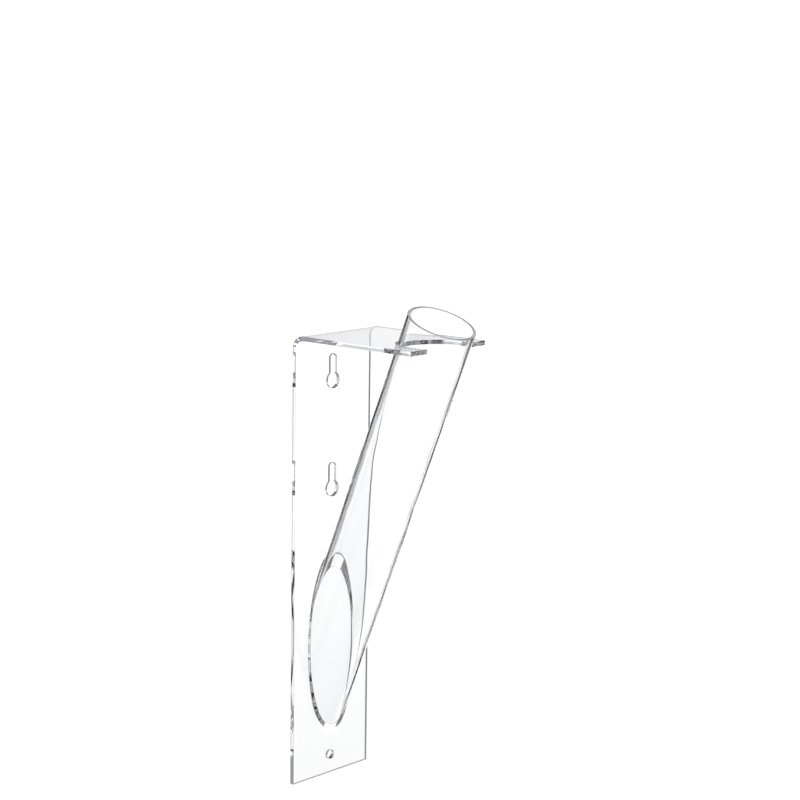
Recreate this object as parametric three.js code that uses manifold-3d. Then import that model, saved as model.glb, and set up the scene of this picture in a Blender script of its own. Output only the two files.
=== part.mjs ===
// Wall-hung tube vase in clear acrylic.
// A bent sheet bracket carries a leaning open tube, whose mitred foot is cemented to the back plate.
// Millimetres. +Z is up, -Y is the front, +Y is the wall. The origin is the middle of the wall face.

import * as THREE from 'three';
import { mergeVertices } from 'three/addons/utils/BufferGeometryUtils.js';
import Module from 'manifold-3d';

const wasm = await Module();
wasm.setup();

// Driving dimensions of the bracket
const SHEET = 3;                    // thickness of the acrylic sheet
const PLATE_HEIGHT = 300;           // bottom edge to the top of the shelf
const ARM_WIDTH = 12.9;             // shelf left beside the tube at its widest
const ARM_REACH = 12;               // how far the shelf's arms reach past the tube's axis
const BEND_RADIUS = 6;              // inside radius of the bend

// Driving dimensions of the tube
const TUBE_DIAMETER = 45;           // outside
const TUBE_WALL = 2;
const TUBE_LEAN = 22.1;             // degrees forward from upright
const FOOT_RISE = 30.6;             // bottom edge of the plate to the lowest point of the tube
const MOUTH_RISE = 15;              // shelf top to the mouth, along the tube's axis
const RIM_EASE = 0.3;               // small chamfer on both edges of the mouth

// Driving dimensions of the wall holes
const KEYHOLE_ENTRY = 11;           // diameter of the round entry
const KEYHOLE_SLOT = 6;             // width of the slot that a screw shank slides up
const KEYHOLE_TRAVEL = 14.5;        // entry centre up to the slot's end centre
const KEYHOLE_DROP = 32.8;          // top of the shelf down to the upper entry's centre
const KEYHOLE_PITCH = 72.2;         // between the two entries
const SCREW_HOLE = 6.4;             // diameter of the lower screw hole
const SCREW_HOLE_RISE = 12.2;       // bottom edge up to its centre

// Driving dimensions of the cement seam and the fits
const CEMENT_FILM = 0.4;            // thickness of the film under the mitred end
const BEAD_SIDE = 0.5;              // how far the bead runs out at the sides of the foot
const BEAD_TOP = 3.2;               // how far it runs up the acute wedge behind the tube
const BEAD_BOTTOM = 2.2;            // how far it runs out under the tube
const SEAM_GAP = 0.3;               // clearance on both faces of the film and along the tube's flank
const NOTCH_CLEARANCE = 0.4;        // clearance of the tube in the shelf's notch

// Finish of the curves, and how far cutting tools pass through
const ROUND_STEPS = 96;
const HOLE_STEPS = 20;
const BEND_STEPS = 12;
const OVERCUT = 5;

// Worked-out sizes
const lean = THREE.MathUtils.degToRad(TUBE_LEAN);
const tubeRadius = TUBE_DIAMETER / 2;
const boreRadius = tubeRadius - TUBE_WALL;
const footStandoff = CEMENT_FILM + 2 * SEAM_GAP;
const footPlane = -SHEET - footStandoff;
const footCentreHeight = FOOT_RISE + tubeRadius / Math.sin(lean);
const tubeAxis = new THREE.Vector3(0, -Math.sin(lean), Math.cos(lean));
const footCentre = new THREE.Vector3(0, footPlane, footCentreHeight);
const tubeLength = (PLATE_HEIGHT - footCentreHeight) / Math.cos(lean) + MOUTH_RISE;
const shelfMiddle = PLATE_HEIGHT - SHEET / 2;
const notchCentre = footPlane - (shelfMiddle - footCentreHeight) * Math.tan(lean);
const plateWidth = TUBE_DIAMETER + 2 * (NOTCH_CLEARANCE + ARM_WIDTH);
const shelfDepth = ARM_REACH - notchCentre;
const wallFaceMiddle = PLATE_HEIGHT / 2;

function toSolid(geometry) {
  const bare = geometry.clone();
  bare.deleteAttribute('normal');
  bare.deleteAttribute('uv');
  const merged = mergeVertices(bare, 1e-4);
  const vertProperties = new Float32Array(merged.attributes.position.array);
  const triVerts = new Uint32Array(merged.index.array);
  return new wasm.Manifold(new wasm.Mesh({ numProp: 3, vertProperties, triVerts }));
}

function toGeometry(solid) {
  const mesh = solid.getMesh();
  const geometry = new THREE.BufferGeometry();
  geometry.setAttribute('position', new THREE.BufferAttribute(mesh.vertProperties, 3));
  geometry.setIndex(new THREE.BufferAttribute(mesh.triVerts, 1));
  geometry.computeVertexNormals();
  return geometry;
}

function clearAcrylic(color) {
  return new THREE.MeshStandardMaterial({
    color,
    roughness: 0.04,
    metalness: 0,
    transparent: true,
    opacity: 0.35,
  });
}

// A flat outline (across, up) pushed forward through the back plate
function throughPlate(outline) {
  const depth = SHEET + 2 * OVERCUT;
  const geometry = new THREE.ExtrudeGeometry(outline, {
    depth,
    bevelEnabled: false,
    curveSegments: HOLE_STEPS,
  });
  const across = new THREE.Vector3(1, 0, 0);
  const up = new THREE.Vector3(0, 0, 1);
  const forward = new THREE.Vector3(0, -1, 0);
  geometry.applyMatrix4(new THREE.Matrix4().makeBasis(across, up, forward));
  geometry.translate(0, OVERCUT, 0);
  return geometry;
}

// Round entry with a narrower slot rising from it
function keyholeOutline(entryHeight) {
  const entryRadius = KEYHOLE_ENTRY / 2;
  const slotRadius = KEYHOLE_SLOT / 2;
  const mouth = Math.asin(slotRadius / entryRadius);
  const outline = new THREE.Shape();
  outline.absarc(0, entryHeight, entryRadius, Math.PI / 2 + mouth, 2.5 * Math.PI - mouth, false);
  outline.absarc(0, entryHeight + KEYHOLE_TRAVEL, slotRadius, 0, Math.PI, false);
  outline.closePath();
  return outline;
}

function screwHoleOutline() {
  const outline = new THREE.Shape();
  outline.absarc(0, SCREW_HOLE_RISE, SCREW_HOLE / 2, 0, 2 * Math.PI, false);
  return outline;
}

// Side profile of the bent sheet: distance from the wall, height
function sheetProfile() {
  const outer = BEND_RADIUS + SHEET;
  const bendHeight = PLATE_HEIGHT - outer;
  const profile = new THREE.Shape();
  profile.moveTo(0, 0);
  profile.lineTo(SHEET, 0);
  profile.absarc(outer, bendHeight, BEND_RADIUS, Math.PI, Math.PI / 2, true);
  profile.lineTo(shelfDepth, PLATE_HEIGHT - SHEET);
  profile.lineTo(shelfDepth, PLATE_HEIGHT);
  profile.absarc(outer, bendHeight, outer, Math.PI / 2, Math.PI, false);
  profile.closePath();
  return profile;
}

function bentSheet() {
  const geometry = new THREE.ExtrudeGeometry(sheetProfile(), {
    depth: plateWidth,
    bevelEnabled: false,
    curveSegments: BEND_STEPS,
  });
  const forward = new THREE.Vector3(0, -1, 0);
  const up = new THREE.Vector3(0, 0, 1);
  const left = new THREE.Vector3(-1, 0, 0);
  geometry.applyMatrix4(new THREE.Matrix4().makeBasis(forward, up, left));
  geometry.translate(plateWidth / 2, 0, 0);
  return geometry;
}

// The notch is cut square through the sheet, so it is long enough for the leaning tube at both faces
function notchTool() {
  const halfWidth = tubeRadius + NOTCH_CLEARANCE;
  const halfDepth = tubeRadius / Math.cos(lean) + (SHEET / 2) * Math.tan(lean) + NOTCH_CLEARANCE;
  const outline = new THREE.Shape();
  outline.absellipse(0, notchCentre, halfWidth, halfDepth, 0, 2 * Math.PI, false);
  const geometry = new THREE.ExtrudeGeometry(outline, {
    depth: SHEET + 2 * OVERCUT,
    bevelEnabled: false,
    curveSegments: ROUND_STEPS,
  });
  geometry.translate(0, 0, PLATE_HEIGHT - SHEET - OVERCUT);
  return geometry;
}

function makeBracket() {
  const upperEntry = PLATE_HEIGHT - KEYHOLE_DROP;
  const lowerEntry = upperEntry - KEYHOLE_PITCH;
  const tools = [
    throughPlate(keyholeOutline(upperEntry)),
    throughPlate(keyholeOutline(lowerEntry)),
    throughPlate(screwHoleOutline()),
    notchTool(),
  ];
  let solid = toSolid(bentSheet());
  for (const tool of tools) {
    solid = solid.subtract(toSolid(tool));
  }
  const mesh = new THREE.Mesh(toGeometry(solid), clearAcrylic(0xf3f6f8));
  mesh.name = 'bracket';
  return mesh;
}

// Straight tube stock along its own axis, from below the foot to the mouth
function tubeStock() {
  const start = -tubeRadius / Math.tan(lean) - OVERCUT;
  const profile = [
    new THREE.Vector2(boreRadius, start),
    new THREE.Vector2(tubeRadius, start),
    new THREE.Vector2(tubeRadius, tubeLength - RIM_EASE),
    new THREE.Vector2(tubeRadius - RIM_EASE, tubeLength),
    new THREE.Vector2(boreRadius + RIM_EASE, tubeLength),
    new THREE.Vector2(boreRadius, tubeLength - RIM_EASE),
    new THREE.Vector2(boreRadius, start),
  ];
  const geometry = new THREE.LatheGeometry(profile, ROUND_STEPS);
  geometry.rotateX(Math.PI / 2 + lean);
  geometry.translate(footCentre.x, footCentre.y, footCentre.z);
  return geometry;
}

// Everything on the wall side of the mitred end
function mitreTool() {
  const depth = 2 * TUBE_DIAMETER + OVERCUT;
  const height = 4 * tubeRadius / Math.sin(lean) + 2 * OVERCUT;
  const geometry = new THREE.BoxGeometry(2 * TUBE_DIAMETER, depth, height);
  geometry.translate(0, footPlane + depth / 2, footCentreHeight);
  return geometry;
}

function makeTube() {
  const solid = toSolid(tubeStock()).subtract(toSolid(mitreTool()));
  const mesh = new THREE.Mesh(toGeometry(solid), clearAcrylic(0xf5f7f9));
  mesh.name = 'tube';
  return mesh;
}

// Section of the seam at one angle round the foot: film under the wall, then the bead in the corner outside it
function seamSection(angle) {
  const wallFace = -SHEET - SEAM_GAP;
  const tubeFace = wallFace - CEMENT_FILM;
  const across = Math.cos(angle);
  const rise = Math.sin(angle);
  const stretch = 1 / Math.sin(lean);
  const onEllipse = (radius, y) =>
    new THREE.Vector3(radius * across, y, footCentreHeight + radius * stretch * rise);
  const outward = new THREE.Vector3(across, 0, rise / stretch).normalize();
  const radial = new THREE.Vector3(across, rise * Math.cos(lean), rise * Math.sin(lean));
  const endReach = rise > 0 ? BEAD_TOP : BEAD_BOTTOM;
  const reach = SEAM_GAP + BEAD_SIDE + (endReach - BEAD_SIDE) * rise ** 4;
  const flank = onEllipse(tubeRadius, footPlane)
    .addScaledVector(tubeAxis, reach)
    .addScaledVector(radial, SEAM_GAP);
  return [
    onEllipse(boreRadius, wallFace),
    onEllipse(tubeRadius, wallFace).addScaledVector(outward, reach),
    flank,
    onEllipse(tubeRadius + SEAM_GAP, tubeFace),
    onEllipse(boreRadius, tubeFace),
  ];
}

// Closed ring through sections that all have the same number of points
function ringOfSections(sections) {
  const count = sections[0].length;
  const position = sections.flat().flatMap((point) => [point.x, point.y, point.z]);
  const index = [];
  sections.forEach((section, i) => {
    const next = (i + 1) % sections.length;
    section.forEach((point, j) => {
      const a = i * count + j;
      const b = i * count + (j + 1) % count;
      const c = next * count + j;
      const d = next * count + (j + 1) % count;
      index.push(a, c, b, b, c, d);
    });
  });
  const geometry = new THREE.BufferGeometry();
  geometry.setAttribute('position', new THREE.Float32BufferAttribute(position, 3));
  geometry.setIndex(index);
  geometry.computeVertexNormals();
  return geometry;
}

function makeFootSeam() {
  const sections = [];
  for (let step = 0; step < ROUND_STEPS; step += 1) {
    sections.push(seamSection((2 * Math.PI * step) / ROUND_STEPS));
  }
  const mesh = new THREE.Mesh(ringOfSections(sections), clearAcrylic(0xe9edf0));
  mesh.name = 'foot_seam';
  return mesh;
}

const vase = new THREE.Group();
vase.add(makeBracket(), makeTube(), makeFootSeam());
vase.position.z = -wallFaceMiddle;

export default vase;
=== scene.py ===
# Wall-hung tube vase in clear acrylic: bent sheet bracket, leaning tube and the cement seam at its foot.
# Metres. +Z is up, -Y is the front, +Y is the wall. The origin is the middle of the wall face.

import math
from collections import namedtuple

import bmesh
import bpy
from mathutils import Matrix, Vector
from mathutils.geometry import tessellate_polygon


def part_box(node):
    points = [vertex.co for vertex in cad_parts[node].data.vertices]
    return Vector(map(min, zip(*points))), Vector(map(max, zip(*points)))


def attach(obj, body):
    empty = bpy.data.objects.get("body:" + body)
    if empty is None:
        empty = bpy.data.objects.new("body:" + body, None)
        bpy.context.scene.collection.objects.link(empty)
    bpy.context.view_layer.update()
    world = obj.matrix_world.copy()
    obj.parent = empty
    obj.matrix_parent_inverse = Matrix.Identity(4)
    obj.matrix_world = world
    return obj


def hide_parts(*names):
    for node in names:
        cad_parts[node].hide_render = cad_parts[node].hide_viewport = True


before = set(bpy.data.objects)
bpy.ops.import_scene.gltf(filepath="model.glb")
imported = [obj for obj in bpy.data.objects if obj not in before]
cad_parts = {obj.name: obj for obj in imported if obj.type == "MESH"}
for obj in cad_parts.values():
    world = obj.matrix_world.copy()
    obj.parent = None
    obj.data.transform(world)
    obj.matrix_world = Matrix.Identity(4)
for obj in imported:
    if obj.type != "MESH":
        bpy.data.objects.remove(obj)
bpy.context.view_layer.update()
bracket_low, bracket_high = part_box("bracket")

MM = 0.001

# Driving dimensions of the bracket
SHEET = 3 * MM
BEND_RADIUS = 6 * MM
NOTCH_CLEARANCE = 0.4 * MM
CUT_EASE = 0.06 * MM

# Driving dimensions of the tube
TUBE_RADIUS = 22.5 * MM
TUBE_WALL = 2 * MM
TUBE_LEAN = math.radians(22.1)
FOOT_RISE = 30.6 * MM
MOUTH_RISE = 15 * MM
RIM_EASE = 0.3 * MM

# Driving dimensions of the wall holes
KEYHOLE_ENTRY_RADIUS = 5.5 * MM
KEYHOLE_SLOT_RADIUS = 3 * MM
KEYHOLE_TRAVEL = 14.5 * MM
KEYHOLE_DROP = 32.8 * MM
KEYHOLE_PITCH = 72.2 * MM
SCREW_HOLE_RADIUS = 3.2 * MM
SCREW_HOLE_RISE = 12.2 * MM

# Driving dimensions of the cement seam: the film is thinner than the stand-off of the solid it replaces.
# A hair gap keeps wetted faces apart. The bead's sharpness is how suddenly it grows towards the ends of
# the foot, and its fill is 0 for a bead hollowed out into the corner and 1 for a straight one.
SOLID_STANDOFF = 1 * MM
CEMENT_FILM = 0.1 * MM
HAIR_GAP = 0.02 * MM
BEAD_SIDE = 0.2 * MM
BEAD_TOP = 4.9 * MM
BEAD_BOTTOM = 1.8 * MM
INNER_BEAD_SIDE = 0.8 * MM
INNER_BEAD_END = 0.2 * MM
BEAD_SHARPNESS = 4
BEAD_FILL = 0.5

# Steps round the curves
TUBE_STEPS = 360
HOLE_STEPS = 64
NOTCH_STEPS = 128
BEND_STEPS = 32
BEAD_STEPS = 8
FLOOR_STEPS = 96
CREASE_ANGLE = math.radians(18)

# Finish. The first two numbers are a piece's material slots for its polished and its cut faces.
POLISHED = 0
CUT = 1
ACRYLIC_INDEX = 1.49
CEMENT_INDEX = 1.48
SHEET_TINT = (0.976, 0.978, 0.984, 1)
TUBE_TINT = (0.996, 0.997, 0.999, 1)
EDGE_CLEARNESS = 1.0
RIM_CLEARNESS = 0.5
CEMENT_CONTACT = {
    "Bubble_Scale": 600.0, "Bubble_Share": 0.025,
    "Starved_Scale": 120.0, "Starved_Level": 0.27,
}

# Marks in the finish: how they stretch along each axis, and the levels between which they fade
DRAWN_STRETCH = (1, 1, 0.01)
SCRATCH_STRETCH = (1, 0.12, 0.12)
SCRATCH_TURN = 0.6
HAIRLINE_LEVELS = (0.004, 0.012)
BREAK_LEVELS = (0.06, 0.12)
SCRATCH_ROUGHNESS = 0.06
SMUDGE_LEVELS = (0.0, 0.25)
WORN_PATCH_SCALE = 0.06
WORN_STRIPE_SHARE = 0.5
WORN_LEVELS = (-0.15, 0.2)
FLAT_ON_PLATE = (1, 0, 1)
BUBBLE_SIZE = 0.35

# Camera
CAMERA_HEADING = math.radians(48.682)
CAMERA_DROP = math.radians(9.723)
CAMERA_ROLL = math.radians(0.769)
CAMERA_PLACE = (-1.06735, -0.99911, 0.35452)
CAMERA_LENS = 101.85
CAMERA_SENSOR = 36

# Studio: the wall's colour shows where no panel covers it, and later panels cover earlier ones.
# Headings run from +Y towards +X. All but the brightness is in degrees.
Panel = namedtuple("Panel", "heading half_width lowest highest side_softness level_softness brightness")
STUDIO_WALL = (0.335, 0.33, 0.365, 1)
STUDIO_PANELS = {
    "dark band": Panel(0, 190, -31, -18, 1, 3, 0.0),
    "grey above raised view": Panel(315, 15, -36, 20, 2, 4, 0.22),
    "flag far right": Panel(112, 18, -19, 7, 2, 2, 0.05),
    "low card": Panel(94.5, 14, -41, -23, 2, 2, 1.2),
    "flag left of backdrop": Panel(32.3, 15.6, -42, 8.5, 1, 3, 0.0),
    "card at right side view": Panel(270, 11, -15, 8, 1, 1, 0.88),
    "card at front view": Panel(0, 11, -15, 8, 1, 1, 0.8),
    "card at raised view": Panel(315, 14, -39, -21, 1, 4, 0.88),
    "card at back view": Panel(135, 12.5, -28, -4, 1, 1, 0.7),
    "white backdrop": Panel(48.2, 12.7, -100, 8.5, 4, 8, 1.18),
    "bright side of backdrop": Panel(58.5, 6.5, -100, 8.5, 1.2, 8, 1.32),
    "foot of backdrop": Panel(43, 8, -100, -15, 2, 4, 1.02),
}
SOFT_BOX_SIZE = 1.6
SOFT_BOX_POWER = 12
SOFT_BOX_HEIGHT = 1.7
FLOOR_RADIUS = 1.4
FLOOR_DROP = 1.25
FLOOR_TINT = (0.86, 0.86, 0.855, 1)
FLOOR_GRAIN_SCALE = 40.0
FLOOR_ROUGHNESS = 0.7
INNER_BOUNCES = 32
WETTED_PASSES = 64

# Worked-out sizes
half_width = bracket_high.x
plate_bottom = bracket_low.z
shelf_top = bracket_high.z
shelf_depth = -bracket_low.y
bore_radius = TUBE_RADIUS - TUBE_WALL
outer_bend = BEND_RADIUS + SHEET
bend_start = shelf_top - plate_bottom - outer_bend
bend_end = bend_start + outer_bend * math.pi / 2
shelf_end = bend_end + shelf_depth - outer_bend
foot_plane = -SHEET - CEMENT_FILM - 2 * HAIR_GAP
foot_shift = (foot_plane + SHEET + SOLID_STANDOFF) / math.tan(TUBE_LEAN)
foot_height = plate_bottom + FOOT_RISE + TUBE_RADIUS / math.sin(TUBE_LEAN) - foot_shift
foot_centre = Vector((0, foot_plane, foot_height))
foot_angles = [2 * math.pi * step / TUBE_STEPS for step in range(TUBE_STEPS)]
tube_axis = Vector((0, -math.sin(TUBE_LEAN), math.cos(TUBE_LEAN)))
tube_back = Vector((0, math.cos(TUBE_LEAN), math.sin(TUBE_LEAN)))
tube_length = (shelf_top - foot_height) / math.cos(TUBE_LEAN) + MOUTH_RISE


def on_sheet(across, along, depth):
    """Point of the bent sheet from its flat pattern: depth 0 is the wall and top side."""
    if along <= bend_start:
        return Vector((across, -depth, plate_bottom + along))
    if along >= bend_end:
        return Vector((across, -outer_bend - (along - bend_end), shelf_top - depth))
    turn = (along - bend_start) / outer_bend
    radius = outer_bend - depth
    y = -outer_bend + radius * math.cos(turn)
    z = shelf_top - outer_bend + radius * math.sin(turn)
    return Vector((across, y, z))


def notch_line():
    """The notch in the flat pattern, from its right tip round the back to its left tip."""
    middle_of_sheet = shelf_top - SHEET / 2
    notch_y = foot_plane - (middle_of_sheet - foot_height) * math.tan(TUBE_LEAN)
    centre = bend_end - notch_y - outer_bend
    wide = TUBE_RADIUS + NOTCH_CLEARANCE
    deep = TUBE_RADIUS / math.cos(TUBE_LEAN) + SHEET / 2 * math.tan(TUBE_LEAN) + NOTCH_CLEARANCE
    tip = math.asin((shelf_end - centre) / deep)
    points = []
    for step in range(NOTCH_STEPS + 1):
        angle = tip - (math.pi + 2 * tip) * step / NOTCH_STEPS
        points.append(Vector((wide * math.cos(angle), centre + deep * math.sin(angle))))
    return points


def sheet_outline():
    """Edge of the flat pattern, anticlockwise: two bottom corners, then up the right side."""
    bend_rows = [bend_start + (bend_end - bend_start) * i / BEND_STEPS for i in range(BEND_STEPS + 1)]
    right_side = [Vector((half_width, row)) for row in bend_rows]
    left_side = [Vector((-half_width, row)) for row in reversed(bend_rows)]
    bottom = [Vector((-half_width, 0)), Vector((half_width, 0))]
    right_tip = [Vector((half_width, shelf_end))]
    left_tip = [Vector((-half_width, shelf_end))]
    return bottom + right_side + right_tip + notch_line() + left_tip + left_side


def arc(radius, height, start, sweep, steps):
    """Points of a round stretch on the plate's centre line, both ends included."""
    points = []
    for step in range(steps + 1):
        angle = start + sweep * step / steps
        points.append(Vector((radius * math.cos(angle), height + radius * math.sin(angle))))
    return points


def keyhole_outline(entry_height):
    """Round entry with a narrower slot above it, clockwise."""
    mouth = math.asin(KEYHOLE_SLOT_RADIUS / KEYHOLE_ENTRY_RADIUS)
    around_entry = 2 * math.pi - 2 * mouth
    entry = arc(KEYHOLE_ENTRY_RADIUS, entry_height, math.pi / 2 + mouth, around_entry, HOLE_STEPS)
    slot_end = arc(KEYHOLE_SLOT_RADIUS, entry_height + KEYHOLE_TRAVEL, 0, math.pi, HOLE_STEPS // 2)
    return list(reversed(entry + slot_end))


def screw_hole_outline():
    """The lower screw hole, clockwise."""
    closed_ring = arc(SCREW_HOLE_RADIUS, SCREW_HOLE_RISE, 0, -2 * math.pi, HOLE_STEPS)
    return closed_ring[:-1]


def moved_in(line, inset):
    """A closed line moved to its left, into the sheet, by a small inset with mitred corners."""
    moved = []
    count = len(line)
    for i, point in enumerate(line):
        before = (point - line[i - 1]).normalized()
        after = (line[(i + 1) % count] - point).normalized()
        left_before = Vector((-before.y, before.x))
        left_after = Vector((-after.y, after.x))
        share = 1 + left_before.dot(left_after)
        moved.append(point + (left_before + left_after) * (inset / share))
    return moved


def bead_reach(rise):
    """How far the bead runs out at one place round the foot. Rise is the sine of the angle round it."""
    end_reach = BEAD_TOP if rise > 0 else BEAD_BOTTOM
    return BEAD_SIDE + (end_reach - BEAD_SIDE) * rise ** BEAD_SHARPNESS


def inner_reach(rise):
    """How far the cement creeps into the bore at one place round the foot."""
    return INNER_BEAD_END + (INNER_BEAD_SIDE - INNER_BEAD_END) * (1 - rise ** BEAD_SHARPNESS)


def foot_ellipse(radius, angle, depth, reach=0):
    """Point of the tube's outline on a plane parallel to the plate, moved out by reach."""
    across = math.cos(angle)
    rise = math.sin(angle)
    point = Vector((radius * across, depth, foot_height + radius * rise / math.sin(TUBE_LEAN)))
    outward = Vector((across, 0, rise * math.sin(TUBE_LEAN))).normalized()
    return point + outward * reach


def tube_point(radius, angle, height):
    """Point at a height along the tube's axis from the middle of the foot."""
    side = Vector((math.cos(angle), 0, 0)) + tube_back * math.sin(angle)
    return foot_centre + tube_axis * height + side * radius


def foot_line_height(radius, angle):
    """Height along the axis at which the tube's wall meets the foot plane."""
    return radius * math.sin(angle) / math.tan(TUBE_LEAN)


class PieceMesh:
    """Vertices and faces of one piece, with marks for cemented faces."""

    def __init__(self):
        self.build = bmesh.new()
        self.bond = self.build.faces.layers.float.new("cemented")
        self.pattern = self.build.verts.layers.float_vector.new("pattern")

    def loop(self, points, patterns=None):
        """Vertices at the points, with their places in the pattern of the uncut material."""
        points = list(points)
        made = []
        for point, pattern in zip(points, patterns or points):
            vert = self.build.verts.new(point)
            vert[self.pattern] = pattern
            made.append(vert)
        return made

    def face(self, corners, finish=POLISHED, bond=0.0):
        """One smooth face with its finish, and 1 for bond where cement wets it."""
        made = self.build.faces.new(corners)
        made.smooth = True
        made.material_index = finish
        made[self.bond] = bond

    def band(self, first, second, finish=POLISHED, bond=0.0):
        """Quads between two closed loops."""
        count = len(first)
        for i in range(count):
            j = (i + 1) % count
            self.face((first[i], first[j], second[j], second[i]), finish, bond)

    def flat_fill(self, loops):
        """Fills a flat face with an outer loop and holes."""
        corners = [vert for loop in loops for vert in loop]
        for triangle in tessellate_polygon([[vert.co for vert in loop] for loop in loops]):
            self.face([corners[index] for index in triangle])

    def to_piece(self, name):
        """The finished piece, with its faces turned outward and its hard edges kept."""
        bmesh.ops.recalc_face_normals(self.build, faces=self.build.faces)
        mesh = bpy.data.meshes.new(name)
        self.build.to_mesh(mesh)
        self.build.free()
        mesh.set_sharp_from_angle(angle=CREASE_ANGLE)
        piece = bpy.data.objects.new(name, mesh)
        bpy.context.scene.collection.objects.link(piece)
        return piece


def make_bracket():
    """One bent sheet with its holes and notch, and the ring on the plate that the cement wets."""
    sheet = PieceMesh()

    def sheet_loop(line, depth):
        patterns = [Vector((p.x, p.y, depth)) for p in line]
        return sheet.loop([on_sheet(*pattern) for pattern in patterns], patterns)

    def cut_through(line):
        """Eased edge of a cut, with its loops on the front and the back of the sheet."""
        eased = moved_in(line, CUT_EASE)
        front = sheet_loop(eased, SHEET)
        front_edge = sheet_loop(line, SHEET - CUT_EASE)
        back_edge = sheet_loop(line, CUT_EASE)
        back = sheet_loop(eased, 0)
        sheet.band(front, front_edge, CUT)
        sheet.band(front_edge, back_edge, CUT)
        sheet.band(back_edge, back, CUT)
        return front, back

    def foot_loop(radius, reach):
        points = [foot_ellipse(radius, a, -SHEET, reach(math.sin(a))) for a in foot_angles]
        return sheet.loop(points, [Vector((p.x, p.z - plate_bottom, SHEET)) for p in points])

    sides = cut_through(sheet_outline())
    upper_entry = shelf_top - plate_bottom - KEYHOLE_DROP
    lower_entry = upper_entry - KEYHOLE_PITCH
    holes = [keyhole_outline(upper_entry), keyhole_outline(lower_entry), screw_hole_outline()]
    front_holes, back_holes = zip(*[cut_through(hole) for hole in holes])

    ring_out = foot_loop(TUBE_RADIUS, bead_reach)
    ring_in = foot_loop(bore_radius, lambda rise: -inner_reach(rise))
    sheet.band(ring_out, ring_in, bond=1)
    sheet.face(ring_in)

    bottom_left, bottom_right, right_bend = range(3)
    left_bend = len(sides[0]) - 1
    right_shelf = right_bend + BEND_STEPS
    left_shelf = left_bend - BEND_STEPS
    plate_holes = ((*front_holes, ring_out), back_holes)
    for side, inner_loops in zip(sides, plate_holes):
        plate = [side[bottom_left], side[bottom_right], side[right_bend], side[left_bend]]
        sheet.flat_fill([plate, *inner_loops])
        for step in range(BEND_STEPS):
            right = right_bend + step
            left = left_bend - step
            sheet.face((side[right], side[right + 1], side[left - 1], side[left]))
        sheet.flat_fill([side[right_shelf:left_shelf + 1]])
    return sheet.to_piece("bent_sheet_bracket")


def make_tube():
    """Leaning tube with a sawn, eased rim and a mitred foot that the cement wets."""
    tube = PieceMesh()
    mouth = tube_length - RIM_EASE

    def ring_loop(radius, height):
        places = [(radius, a, height(a)) for a in foot_angles]
        patterns = [Vector((r * math.cos(a), r * math.sin(a), h)) for r, a, h in places]
        return tube.loop([tube_point(*place) for place in places], patterns)

    def foot_loop(radius, reach):
        return ring_loop(radius, lambda a: foot_line_height(radius, a) + reach(math.sin(a)))

    outer_foot = foot_loop(TUBE_RADIUS, lambda rise: 0)
    bead_line = foot_loop(TUBE_RADIUS, bead_reach)
    outer_top = ring_loop(TUBE_RADIUS, lambda a: mouth)
    rim_outer = ring_loop(TUBE_RADIUS - RIM_EASE, lambda a: tube_length)
    rim_inner = ring_loop(bore_radius + RIM_EASE, lambda a: tube_length)
    inner_top = ring_loop(bore_radius, lambda a: mouth)
    inner_bead_line = foot_loop(bore_radius, inner_reach)
    inner_foot = foot_loop(bore_radius, lambda rise: 0)
    tube.band(inner_foot, outer_foot, bond=1)
    tube.band(outer_foot, bead_line, bond=1)
    tube.band(bead_line, outer_top)
    tube.band(outer_top, rim_outer, CUT)
    tube.band(rim_outer, rim_inner, CUT)
    tube.band(rim_inner, inner_top, CUT)
    tube.band(inner_top, inner_bead_line)
    tube.band(inner_bead_line, inner_foot, bond=1)
    return tube.to_piece("leaning_tube")


def make_foot_seam():
    """Film of cement under the foot, with a hollow bead outside it and a thin one in the bore."""
    seam = PieceMesh()
    wall_face = -SHEET - HAIR_GAP
    tube_face = foot_plane + HAIR_GAP

    def meniscus(wall, side, reach):
        """Hollow bead from its toe on the plate up to the tube's wall, then the corner that it fills."""
        touch = wall + side * HAIR_GAP
        toes = []
        flanks = []
        corners = []
        pulls = []
        for a in foot_angles:
            run = reach(math.sin(a)) - HAIR_GAP
            toe = foot_ellipse(wall, a, wall_face, side * run)
            flank = tube_point(touch, a, foot_line_height(wall, a) + run)
            corner = foot_ellipse(touch, a, tube_face)
            toes.append(toe)
            flanks.append(flank)
            corners.append(corner)
            pulls.append(corner.lerp((toe + flank) / 2, BEAD_FILL))
        bead = []
        for step in range(BEAD_STEPS + 1):
            t = step / BEAD_STEPS
            bead.append(seam.loop(
                toe * (1 - t) ** 2 + pull * 2 * t * (1 - t) + flank * t ** 2
                for toe, pull, flank in zip(toes, pulls, flanks)
            ))
        for lower, upper in zip(bead, bead[1:]):
            seam.band(lower, upper)
        corner_loop = seam.loop(corners)
        seam.band(bead[-1], corner_loop, bond=1)
        return bead[0], corner_loop

    outer_toe, outer_corner = meniscus(TUBE_RADIUS, 1, bead_reach)
    inner_toe, inner_corner = meniscus(bore_radius, -1, inner_reach)
    seam.band(inner_toe, outer_toe, bond=1)
    seam.band(outer_corner, inner_corner, bond=1)
    return seam.to_piece("foot_cement_seam")


def feed(tree, socket, value):
    """Sets a socket to a plain value, or links another node's output into it."""
    if isinstance(value, bpy.types.NodeSocket):
        tree.links.new(value, socket)
    else:
        socket.default_value = value


def calc(tree, operation, *values):
    """One step of arithmetic on values or sockets."""
    node = tree.nodes.new("ShaderNodeMath")
    node.operation = operation
    for socket, value in zip(node.inputs, values):
        feed(tree, socket, value)
    return node.outputs["Value"]


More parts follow.
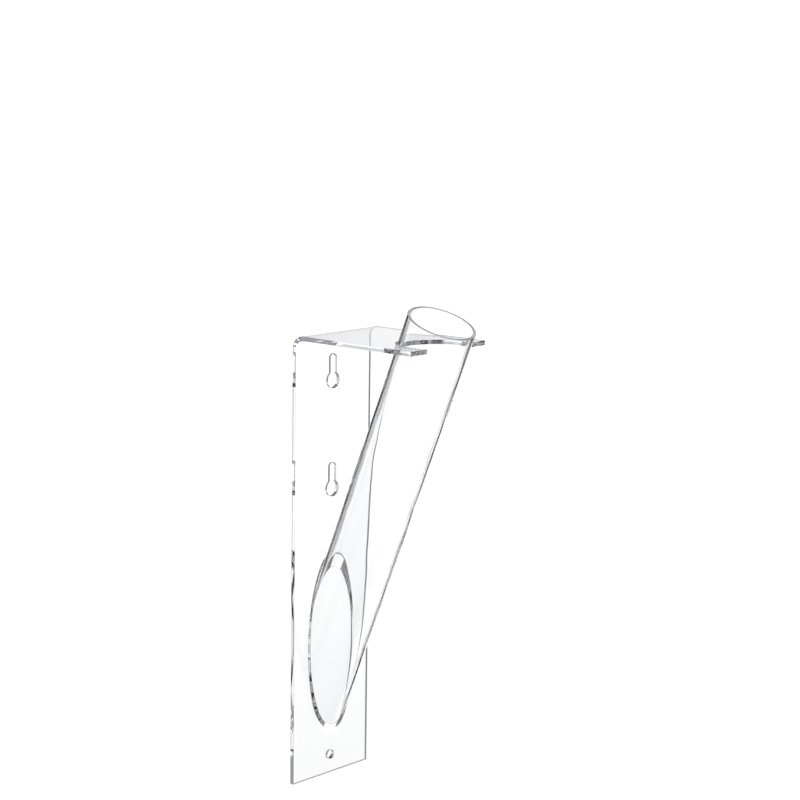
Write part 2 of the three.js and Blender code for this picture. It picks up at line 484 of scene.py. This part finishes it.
def fade(tree, value, low, high, at_low=0.0, at_high=1.0):
    """Smooth change from one value to another between two levels."""
    node = tree.nodes.new("ShaderNodeMapRange")
    node.interpolation_type = "SMOOTHSTEP"
    feed(tree, node.inputs["Value"], value)
    feed(tree, node.inputs["From Min"], low)
    feed(tree, node.inputs["From Max"], high)
    feed(tree, node.inputs["To Min"], at_low)
    feed(tree, node.inputs["To Max"], at_high)
    return node.outputs["Result"]


def blend(tree, kind, share, first, second):
    """Value or colour between two others. A Mix node has its own sockets for each kind."""
    node = tree.nodes.new("ShaderNodeMix")
    node.data_type = kind
    first_socket, second_socket, result = {"FLOAT": (2, 3, 0), "RGBA": (6, 7, 2)}[kind]
    feed(tree, node.inputs[0], share)
    feed(tree, node.inputs[first_socket], first)
    feed(tree, node.inputs[second_socket], second)
    return node.outputs[result]


def stretched(tree, place, scale, turn=0.0):
    """Coordinates stretched along their axes, then turned about the third one."""
    node = tree.nodes.new("ShaderNodeMapping")
    feed(tree, node.inputs["Vector"], place)
    node.inputs["Rotation"].default_value = (0, 0, turn)
    feed(tree, node.inputs["Scale"], scale)
    return node.outputs["Vector"]


def noise(tree, place, scale, detail):
    """Soft noise about zero, from minus a half to a half."""
    node = tree.nodes.new("ShaderNodeTexNoise")
    feed(tree, node.inputs["Vector"], place)
    feed(tree, node.inputs["Scale"], scale)
    feed(tree, node.inputs["Detail"], detail)
    return calc(tree, "SUBTRACT", node.outputs["Fac"], 0.5)


def attribute(tree, name, output):
    """A value that the mesh carries."""
    node = tree.nodes.new("ShaderNodeAttribute")
    node.attribute_name = name
    return node.outputs[output]


def new_group(name, inputs, outputs):
    """An empty node group with its sockets, and its two end nodes."""
    tree = bpy.data.node_groups.new(name, "ShaderNodeTree")
    for label, kind in inputs:
        tree.interface.new_socket(label, in_out="INPUT", socket_type="NodeSocket" + kind)
    for label, kind in outputs:
        tree.interface.new_socket(label, in_out="OUTPUT", socket_type="NodeSocket" + kind)
    start = tree.nodes.new("NodeGroupInput")
    end = tree.nodes.new("NodeGroupOutput")
    return tree, start.outputs, end.inputs


def place_group(tree, group, **values):
    """A group placed in a material with its own values; underscores stand for spaces."""
    node = tree.nodes.new("ShaderNodeGroup")
    node.node_tree = group
    for label, value in values.items():
        feed(tree, node.inputs[label.replace("_", " ")], value)
    return node.outputs


def polished_skin_group():
    """Slow waves, drawn lines, hairline scratches and wiped smudges of a polished face."""
    tree, given, made = new_group(
        "polished acrylic skin",
        [("Place", "Vector"), ("Wave Scale", "Float"), ("Wave Height", "Float"), ("Line Scale", "Float"),
         ("Line Height", "Float"), ("Scratch Scale", "Float"), ("Scratch Depth", "Float"),
         ("Smudge Scale", "Float"), ("Smudge Roughness", "Float")],
        [("Height", "Float"), ("Roughness", "Float")],
    )
    place = given["Place"]
    waves = noise(tree, place, given["Wave Scale"], detail=1.0)
    wave = calc(tree, "MULTIPLY", waves, given["Wave Height"])
    lines = noise(tree, stretched(tree, place, DRAWN_STRETCH), given["Line Scale"], detail=2.0)
    line = calc(tree, "MULTIPLY", lines, given["Line Height"])
    cells = tree.nodes.new("ShaderNodeTexVoronoi")
    cells.feature = "DISTANCE_TO_EDGE"
    feed(tree, cells.inputs["Vector"], stretched(tree, place, SCRATCH_STRETCH, SCRATCH_TURN))
    feed(tree, cells.inputs["Scale"], given["Scratch Scale"])
    hairline = fade(tree, cells.outputs["Distance"], *HAIRLINE_LEVELS, at_low=1.0, at_high=0.0)
    broken = fade(tree, noise(tree, place, given["Scratch Scale"], detail=1.0), *BREAK_LEVELS)
    scratch = calc(tree, "MULTIPLY", hairline, broken)
    scratch_depth = calc(tree, "MULTIPLY", scratch, given["Scratch Depth"])
    surface = calc(tree, "SUBTRACT", calc(tree, "ADD", wave, line), scratch_depth)
    smudge = fade(tree, noise(tree, place, given["Smudge Scale"], detail=4.0), *SMUDGE_LEVELS)
    wiped = calc(tree, "MULTIPLY", smudge, given["Smudge Roughness"])
    feed(tree, made["Height"], surface)
    feed(tree, made["Roughness"], calc(tree, "MULTIPLY_ADD", scratch, SCRATCH_ROUGHNESS, wiped))
    return tree


def cut_edge_group():
    """Fine marks left by the cutter across an edge, with their roughness and tint."""
    tree, given, made = new_group(
        "cut edge",
        [("Place", "Vector"), ("Stretch", "Vector"), ("Stripe Scale", "Float"), ("Stripe Depth", "Float"),
         ("Smooth Roughness", "Float"), ("Rough Roughness", "Float"),
         ("Pale Tint", "Color"), ("Deep Tint", "Color")],
        [("Height", "Float"), ("Roughness", "Float"), ("Tint", "Color")],
    )
    place = stretched(tree, given["Place"], given["Stretch"])
    stripes = noise(tree, place, given["Stripe Scale"], detail=3.0)
    patch_scale = calc(tree, "MULTIPLY", given["Stripe Scale"], WORN_PATCH_SCALE)
    patches = noise(tree, place, patch_scale, detail=2.0)
    marks = calc(tree, "ADD", patches, calc(tree, "MULTIPLY", stripes, WORN_STRIPE_SHARE))
    worn = fade(tree, marks, *WORN_LEVELS)
    roughness = blend(tree, "FLOAT", worn, given["Smooth Roughness"], given["Rough Roughness"])
    tint = blend(tree, "RGBA", worn, given["Pale Tint"], given["Deep Tint"])
    feed(tree, made["Height"], calc(tree, "MULTIPLY", stripes, given["Stripe Depth"]))
    feed(tree, made["Roughness"], roughness)
    feed(tree, made["Tint"], tint)
    return tree


def cement_contact_group():
    """Where cement wets a face it vanishes; bubbles and starved spots keep a bare face."""
    tree, given, made = new_group(
        "cement contact",
        [("Place", "Vector"), ("Contact", "Float"), ("Bubble Scale", "Float"), ("Bubble Share", "Float"),
         ("Starved Scale", "Float"), ("Starved Level", "Float")],
        [("Open", "Float")],
    )
    place = stretched(tree, given["Place"], FLAT_ON_PLATE)
    cells = tree.nodes.new("ShaderNodeTexVoronoi")
    cells.feature = "F1"
    feed(tree, cells.inputs["Vector"], place)
    feed(tree, cells.inputs["Scale"], given["Bubble Scale"])
    pick = tree.nodes.new("ShaderNodeSeparateColor")
    tree.links.new(cells.outputs["Color"], pick.inputs["Color"])
    size = calc(tree, "MULTIPLY", pick.outputs["Green"], BUBBLE_SIZE)
    round_spot = calc(tree, "LESS_THAN", cells.outputs["Distance"], size)
    chosen = calc(tree, "LESS_THAN", pick.outputs["Red"], given["Bubble Share"])
    bubble = calc(tree, "MULTIPLY", round_spot, chosen)
    thin_spots = noise(tree, place, given["Starved Scale"], detail=2.0)
    starved = calc(tree, "GREATER_THAN", thin_spots, given["Starved Level"])
    bare = calc(tree, "MAXIMUM", bubble, starved)
    wetted = calc(tree, "MULTIPLY", given["Contact"], calc(tree, "SUBTRACT", 1.0, bare))
    feed(tree, made["Open"], calc(tree, "SUBTRACT", 1.0, wetted))
    return tree


# Effects that the materials share, built once
polished_skin = polished_skin_group()
cut_edge = cut_edge_group()
cement_contact = cement_contact_group()


def clear_material(name, index, clearness=1.0):
    """Glass-like shader, with its material and node tree."""
    material = bpy.data.materials.new(name)
    material.use_nodes = True
    tree = material.node_tree
    shader = tree.nodes["Principled BSDF"]
    shader.inputs["IOR"].default_value = index
    shader.inputs["Transmission Weight"].default_value = clearness
    return material, tree, shader


def raise_surface(tree, shader, height):
    """Bump from a height in millimetres."""
    bump = tree.nodes.new("ShaderNodeBump")
    bump.inputs["Distance"].default_value = MM
    feed(tree, bump.inputs["Height"], height)
    feed(tree, shader.inputs["Normal"], bump.outputs["Normal"])


def polished_material(name, index, tint, **skin_values):
    """Polished clear face that vanishes where cement wets it."""
    material, tree, shader = clear_material(name, index)
    skin = place_group(tree, polished_skin, Place=attribute(tree, "pattern", "Vector"), **skin_values)
    contact = place_group(
        tree, cement_contact, Place=attribute(tree, "position", "Vector"),
        Contact=attribute(tree, "cemented", "Fac"), **CEMENT_CONTACT,
    )
    raise_surface(tree, shader, skin["Height"])
    shader.inputs["Base Color"].default_value = tint
    feed(tree, shader.inputs["Roughness"], skin["Roughness"])
    feed(tree, shader.inputs["Alpha"], contact["Open"])
    return material


def cut_material(name, clearness, **edge_values):
    """Clear edge as the cutter left it."""
    material, tree, shader = clear_material(name, ACRYLIC_INDEX, clearness)
    edge = place_group(tree, cut_edge, Place=attribute(tree, "pattern", "Vector"), **edge_values)
    raise_surface(tree, shader, edge["Height"])
    feed(tree, shader.inputs["Base Color"], edge["Tint"])
    feed(tree, shader.inputs["Roughness"], edge["Roughness"])
    return material


def clear_sheet_material():
    """Polished faces of the bent sheet."""
    return polished_material(
        "clear sheet", ACRYLIC_INDEX, SHEET_TINT,
        Wave_Scale=14.0, Wave_Height=0.05,
        Scratch_Scale=30.0, Scratch_Depth=0.002,
        Smudge_Scale=35.0, Smudge_Roughness=0.03,
    )


def clear_tube_material():
    """Polished wall of the tube, with faint lines along it from drawing."""
    return polished_material(
        "clear tube", ACRYLIC_INDEX, TUBE_TINT,
        Wave_Scale=30.0, Wave_Height=0.25,
        Line_Scale=150.0, Line_Height=0.001,
        Scratch_Scale=30.0, Scratch_Depth=0.002,
        Smudge_Scale=35.0, Smudge_Roughness=0.03,
    )


def cement_material():
    """Dried cement, wavier than the sheet and without scratches cut into it."""
    return polished_material(
        "cement", CEMENT_INDEX, TUBE_TINT,
        Wave_Scale=160.0, Wave_Height=0.05,
        Scratch_Scale=30.0,
        Smudge_Scale=80.0, Smudge_Roughness=0.03,
    )


def sheet_edge_material():
    """Smooth edges of the cut sheet, with faint marks across its thickness."""
    return cut_material(
        "cut sheet edge", EDGE_CLEARNESS,
        Stretch=(1, 1, 0.03), Stripe_Scale=400.0, Stripe_Depth=0.0002,
        Smooth_Roughness=0.0, Rough_Roughness=0.02,
        Pale_Tint=(0.96, 0.97, 0.98, 1), Deep_Tint=(0.92, 0.935, 0.955, 1),
    )


def sawn_rim_material():
    """Frosted rim at the tube's mouth."""
    return cut_material(
        "sawn rim", RIM_CLEARNESS,
        Stretch=(1, 0.1, 1), Stripe_Scale=1800.0, Stripe_Depth=0.02,
        Smooth_Roughness=0.35, Rough_Roughness=0.45,
        Pale_Tint=(0.97, 0.98, 0.98, 1), Deep_Tint=(0.88, 0.89, 0.90, 1),
    )


def aim_camera():
    """Camera at the photograph's place, turned by its heading, drop and roll."""
    ahead = Vector((
        math.sin(CAMERA_HEADING) * math.cos(CAMERA_DROP),
        math.cos(CAMERA_HEADING) * math.cos(CAMERA_DROP),
        -math.sin(CAMERA_DROP),
    ))
    right = ahead.cross(Vector((0, 0, 1))).normalized()
    up = right.cross(ahead)
    right_rolled = right * math.cos(CAMERA_ROLL) + up * math.sin(CAMERA_ROLL)
    up_rolled = up * math.cos(CAMERA_ROLL) - right * math.sin(CAMERA_ROLL)
    data = bpy.data.cameras.new("vase_camera")
    data.sensor_width = CAMERA_SENSOR
    data.lens = CAMERA_LENS
    camera = bpy.data.objects.new("vase_camera", data)
    turn = Matrix((right_rolled, up_rolled, -ahead)).transposed()
    camera.matrix_world = Matrix.LocRotScale(Vector(CAMERA_PLACE), turn, None)
    bpy.context.scene.collection.objects.link(camera)
    bpy.context.scene.camera = camera


def studio_surround():
    """World of soft-edged panels round the vase, painted one over another."""
    world = bpy.data.worlds.new("studio")
    bpy.context.scene.world = world
    world.use_nodes = True
    tree = world.node_tree
    direction = tree.nodes.new("ShaderNodeTexCoord")
    parts = tree.nodes.new("ShaderNodeSeparateXYZ")
    tree.links.new(direction.outputs["Generated"], parts.inputs["Vector"])
    heading = calc(tree, "ARCTAN2", parts.outputs["X"], parts.outputs["Y"])
    level = calc(tree, "ARCSINE", parts.outputs["Z"])

    def soft_edge(value, edge, softness, below, above):
        """Change from one value to another across an edge in degrees."""
        low = math.radians(edge - softness)
        high = math.radians(edge + softness)
        return fade(tree, value, low, high, below, above)

    shade = STUDIO_WALL
    for panel in STUDIO_PANELS.values():
        turn = calc(tree, "SUBTRACT", heading, math.radians(panel.heading))
        away = calc(tree, "ABSOLUTE", calc(tree, "WRAP", turn, math.pi, -math.pi))
        across = soft_edge(away, panel.half_width, panel.side_softness, 1.0, 0.0)
        bottom = soft_edge(level, panel.lowest, panel.level_softness, 0.0, 1.0)
        top = soft_edge(level, panel.highest, panel.level_softness, 1.0, 0.0)
        cover = calc(tree, "MULTIPLY", calc(tree, "MULTIPLY", across, bottom), top)
        grey = (panel.brightness, panel.brightness, panel.brightness, 1)
        shade = blend(tree, "RGBA", cover, shade, grey)
    feed(tree, tree.nodes["Background"].inputs["Color"], shade)


def soft_light():
    """Soft box straight above the vase."""
    data = bpy.data.lights.new("overhead_soft_box", "AREA")
    data.shape = "DISK"
    data.size = SOFT_BOX_SIZE
    data.energy = SOFT_BOX_POWER
    light = bpy.data.objects.new("overhead_soft_box", data)
    light.location = (0, 0, SOFT_BOX_HEIGHT)
    bpy.context.scene.collection.objects.link(light)


def pale_floor():
    """Round pale floor well below the vase, which hangs on a wall."""
    build = bmesh.new()
    bmesh.ops.create_circle(build, cap_ends=True, segments=FLOOR_STEPS, radius=FLOOR_RADIUS)
    mesh = bpy.data.meshes.new("pale_floor")
    build.to_mesh(mesh)
    build.free()
    floor = bpy.data.objects.new("pale_floor", mesh)
    floor.location.z = -FLOOR_DROP
    bpy.context.scene.collection.objects.link(floor)
    material = bpy.data.materials.new("pale floor")
    material.use_nodes = True
    tree = material.node_tree
    shader = tree.nodes["Principled BSDF"]
    shader.inputs["Base Color"].default_value = FLOOR_TINT
    grain = noise(tree, attribute(tree, "position", "Vector"), FLOOR_GRAIN_SCALE, detail=3.0)
    feed(tree, shader.inputs["Roughness"], calc(tree, "ADD", grain, FLOOR_ROUGHNESS))
    mesh.materials.append(material)


def render_depth():
    """Enough bounces for light that runs along inside the clear sheet and wall."""
    cycles = bpy.context.scene.cycles
    cycles.max_bounces = INNER_BOUNCES
    cycles.glossy_bounces = INNER_BOUNCES
    cycles.transmission_bounces = INNER_BOUNCES
    cycles.transparent_max_bounces = WETTED_PASSES
    bpy.context.scene.view_settings.view_transform = "Standard"


pieces = (
    (make_bracket(), "bracket", "clear_sheet", (clear_sheet_material(), sheet_edge_material())),
    (make_tube(), "tube", "clear_tube", (clear_tube_material(), sawn_rim_material())),
    (make_foot_seam(), "foot_seam", "cement", (cement_material(),)),
)
for piece, node, slot, materials in pieces:
    for material in materials:
        piece.data.materials.append(material)
    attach(piece, "root")
    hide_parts(node)

aim_camera()
studio_surround()
soft_light()
pale_floor()
render_depth()
